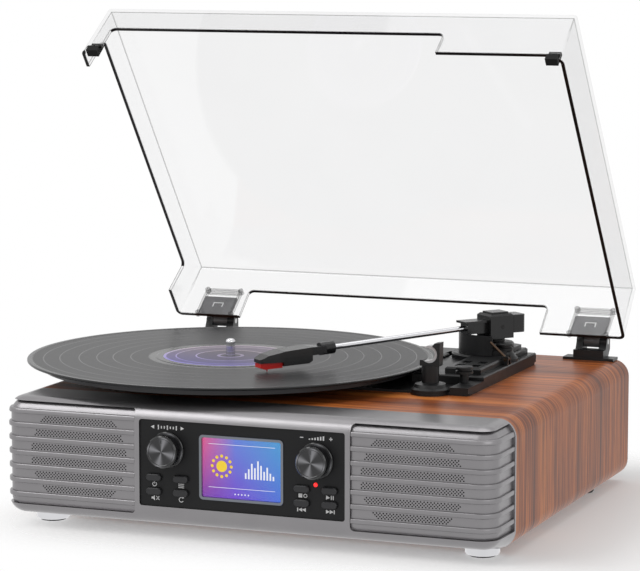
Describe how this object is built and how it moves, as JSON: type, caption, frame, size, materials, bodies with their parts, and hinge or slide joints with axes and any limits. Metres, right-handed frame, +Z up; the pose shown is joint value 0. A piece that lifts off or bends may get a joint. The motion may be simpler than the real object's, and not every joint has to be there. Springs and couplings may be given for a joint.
{
  "type": "record player",
  "caption": "Free-standing record player: hinged clear lid, belt-driven platter, cueing tone arm, ribbed speaker grilles, and a front panel with display, knobs and buttons.",
  "frame": {"origin": "centre of the cabinet's underside; the feet stand below it", "axes": "+X to the right seen from the front, +Y to the back, +Z up; the front with the controls faces -Y"},
  "size_m": [0.4112, 0.3565, 0.3629],
  "materials": {
    "walnut": "satin",
    "gunmetal": "satin",
    "fascia_black": "matte",
    "frame_metal": "satin",
    "clear_window": "gloss",
    "screen": "gloss",
    "red_lens": "gloss",
    "circuit_board": "matte",
    "encoder_metal": "satin",
    "speaker_black": "matte",
    "bright_cup": "polished",
    "dark_cup": "matte",
    "pad_rubber": "matte",
    "socket_black": "matte",
    "screw_steel": "satin",
    "mechanism_black": "satin",
    "bronze": "satin",
    "motor_steel": "satin",
    "pulley_brass": "polished",
    "belt_rubber": "matte",
    "platter_metal": "satin",
    "mat_rubber": "matte",
    "record_vinyl": "gloss",
    "label_paper": "matte",
    "spindle_chrome": "polished",
    "arm_chrome": "polished",
    "weight_black": "satin",
    "head_black": "satin",
    "stylus_red": "gloss",
    "clip_grey": "gloss",
    "knob_metal": "brushed",
    "shaft_steel": "satin",
    "button_grey": "satin",
    "clear_lid": "gloss",
    "bumper_rubber": "matte",
    "hinge_grey": "satin"
  },
  "bodies": {
    "base": {"cabinet_shell": "walnut", "front_bezel": "gunmetal", "left_grille": "gunmetal", "right_grille": "gunmetal", "left_speaker": "speaker_black", "right_speaker": "speaker_black", "control_fascia": "fascia_black", "display_frame": "frame_metal", "display_window": "clear_window", "display_module": "screen", "status_lamp": "red_lens", "control_board": "circuit_board", "encoders": "encoder_metal", "front_foot_cups": "bright_cup", "rear_foot_cups": "dark_cup", "foot_pads": "pad_rubber", "rear_panel": "fascia_black", "rear_sockets": "socket_black", "case_screws": "screw_steel", "main_board": "circuit_board", "mechanism_plate": "mechanism_black", "spindle_bush": "bronze", "motor": "motor_steel", "drive_belt": "belt_rubber", "arm_base": "mechanism_black", "arm_rest_post": "mechanism_black", "hinge_bases": "mechanism_black", "hinge_pins": "shaft_steel"},
    "turntable": {"platter": "platter_metal", "slip_mat": "mat_rubber", "record": "record_vinyl", "record_label": "label_paper", "spindle": "spindle_chrome"},
    "pulley": {"motor_pulley": "pulley_brass"},
    "arm_swing": {"arm_yoke": "mechanism_black"},
    "arm": {"arm_housing": "mechanism_black", "arm_weight": "weight_black", "arm_tube": "arm_chrome", "headshell": "head_black", "cartridge": "head_black", "stylus": "stylus_red"},
    "cue_lift": {"cue_platform": "mechanism_black"},
    "cue_handle": {"cue_lever": "arm_chrome"},
    "rest_clip": {"arm_rest_clip": "clip_grey"},
    "speed_slider": {"speed_switch": "mechanism_black"},
    "tuning": {"tune_knob": "knob_metal", "tune_shaft": "shaft_steel"},
    "volume": {"volume_knob": "knob_metal", "volume_shaft": "shaft_steel"},
    "cover": {"lid": "clear_lid", "lid_bumpers": "bumper_rubber", "hinge_leaves": "hinge_grey"},
    "key_1": {"button_1": "button_grey"},
    "key_2": {"button_2": "button_grey"},
    "key_3": {"button_3": "button_grey"},
    "key_4": {"button_4": "button_grey"},
    "key_5": {"button_5": "button_grey"},
    "key_6": {"button_6": "button_grey"},
    "key_7": {"button_7": "button_grey"},
    "key_8": {"button_8": "button_grey"}
  },
  "joints": [
    {"name": "platter_spin", "type": "hinge", "parent": "base", "child": "turntable", "pos_m": [-0.0734, -0.01, 0.09], "axis": [0, 0, 1], "continuous": true},
    {"name": "pulley_spin", "type": "hinge", "parent": "base", "child": "pulley", "pos_m": [-0.0134, 0.052, 0.09], "axis": [0, 0, 1], "continuous": true},
    {"name": "arm_swing", "type": "hinge", "parent": "base", "child": "arm_swing", "pos_m": [0.103, 0.084, 0.11], "axis": [0, 0, 1], "range_deg": [-7, 34]},
    {"name": "arm_lift", "type": "hinge", "parent": "arm_swing", "child": "arm", "pos_m": [0.103, 0.084, 0.1226], "axis": [-0.7839, 0.6209, 0], "range_deg": [0, 2.5]},
    {"name": "cue_lift", "type": "slide", "parent": "base", "child": "cue_lift", "axis": [0, 0, 1], "range_m": [0, 0.0012]},
    {"name": "cue_lever_turn", "type": "hinge", "parent": "base", "child": "cue_handle", "pos_m": [0.122, 0.0535, 0.1026], "axis": [0, 1, 0], "range_deg": [0, 60]},
    {"name": "rest_clip_turn", "type": "hinge", "parent": "base", "child": "rest_clip", "pos_m": [0.095, -0.04, 0.1183], "axis": [0, 1, 0], "range_deg": [0, 90]},
    {"name": "speed_slide", "type": "slide", "parent": "base", "child": "speed_slider", "axis": [0, 1, 0], "range_m": [0, 0.022]},
    {"name": "tune_turn", "type": "hinge", "parent": "base", "child": "tuning", "pos_m": [-0.0557, -0.16, 0.0596], "axis": [0, 1, 0], "continuous": true},
    {"name": "volume_turn", "type": "hinge", "parent": "base", "child": "volume", "pos_m": [0.0557, -0.16, 0.0596], "axis": [0, 1, 0], "range_deg": [-150, 150]},
    {"name": "lid_hinge", "type": "hinge", "parent": "base", "child": "cover", "pos_m": [0, 0.1644, 0.1026], "axis": [1, 0, 0], "range_deg": [0, 52.3]},
    {"name": "key_1_press", "type": "slide", "parent": "base", "child": "key_1", "axis": [0, 1, 0], "range_m": [0, 0.001], "stiffness_N_per_m": 200, "springref_m": -0.001},
    {"name": "key_2_press", "type": "slide", "parent": "base", "child": "key_2", "axis": [0, 1, 0], "range_m": [0, 0.001], "stiffness_N_per_m": 200, "springref_m": -0.001},
    {"name": "key_3_press", "type": "slide", "parent": "base", "child": "key_3", "axis": [0, 1, 0], "range_m": [0, 0.001], "stiffness_N_per_m": 200, "springref_m": -0.001},
    {"name": "key_4_press", "type": "slide", "parent": "base", "child": "key_4", "axis": [0, 1, 0], "range_m": [0, 0.001], "stiffness_N_per_m": 200, "springref_m": -0.001},
    {"name": "key_5_press", "type": "slide", "parent": "base", "child": "key_5", "axis": [0, 1, 0], "range_m": [0, 0.001], "stiffness_N_per_m": 200, "springref_m": -0.001},
    {"name": "key_6_press", "type": "slide", "parent": "base", "child": "key_6", "axis": [0, 1, 0], "range_m": [0, 0.001], "stiffness_N_per_m": 200, "springref_m": -0.001},
    {"name": "key_7_press", "type": "slide", "parent": "base", "child": "key_7", "axis": [0, 1, 0], "range_m": [0, 0.001], "stiffness_N_per_m": 200, "springref_m": -0.001},
    {"name": "key_8_press", "type": "slide", "parent": "base", "child": "key_8", "axis": [0, 1, 0], "range_m": [0, 0.001], "stiffness_N_per_m": 200, "springref_m": -0.001}
  ],
  "couplings": [
    {"joint": "pulley_spin", "follows": "platter_spin", "ratio": 12},
    {"joint": "cue_lift", "follows": "arm_lift", "m_per_rad": 0.0275},
    {"joint": "cue_lever_turn", "follows": "arm_lift", "ratio": 24}
  ]
}
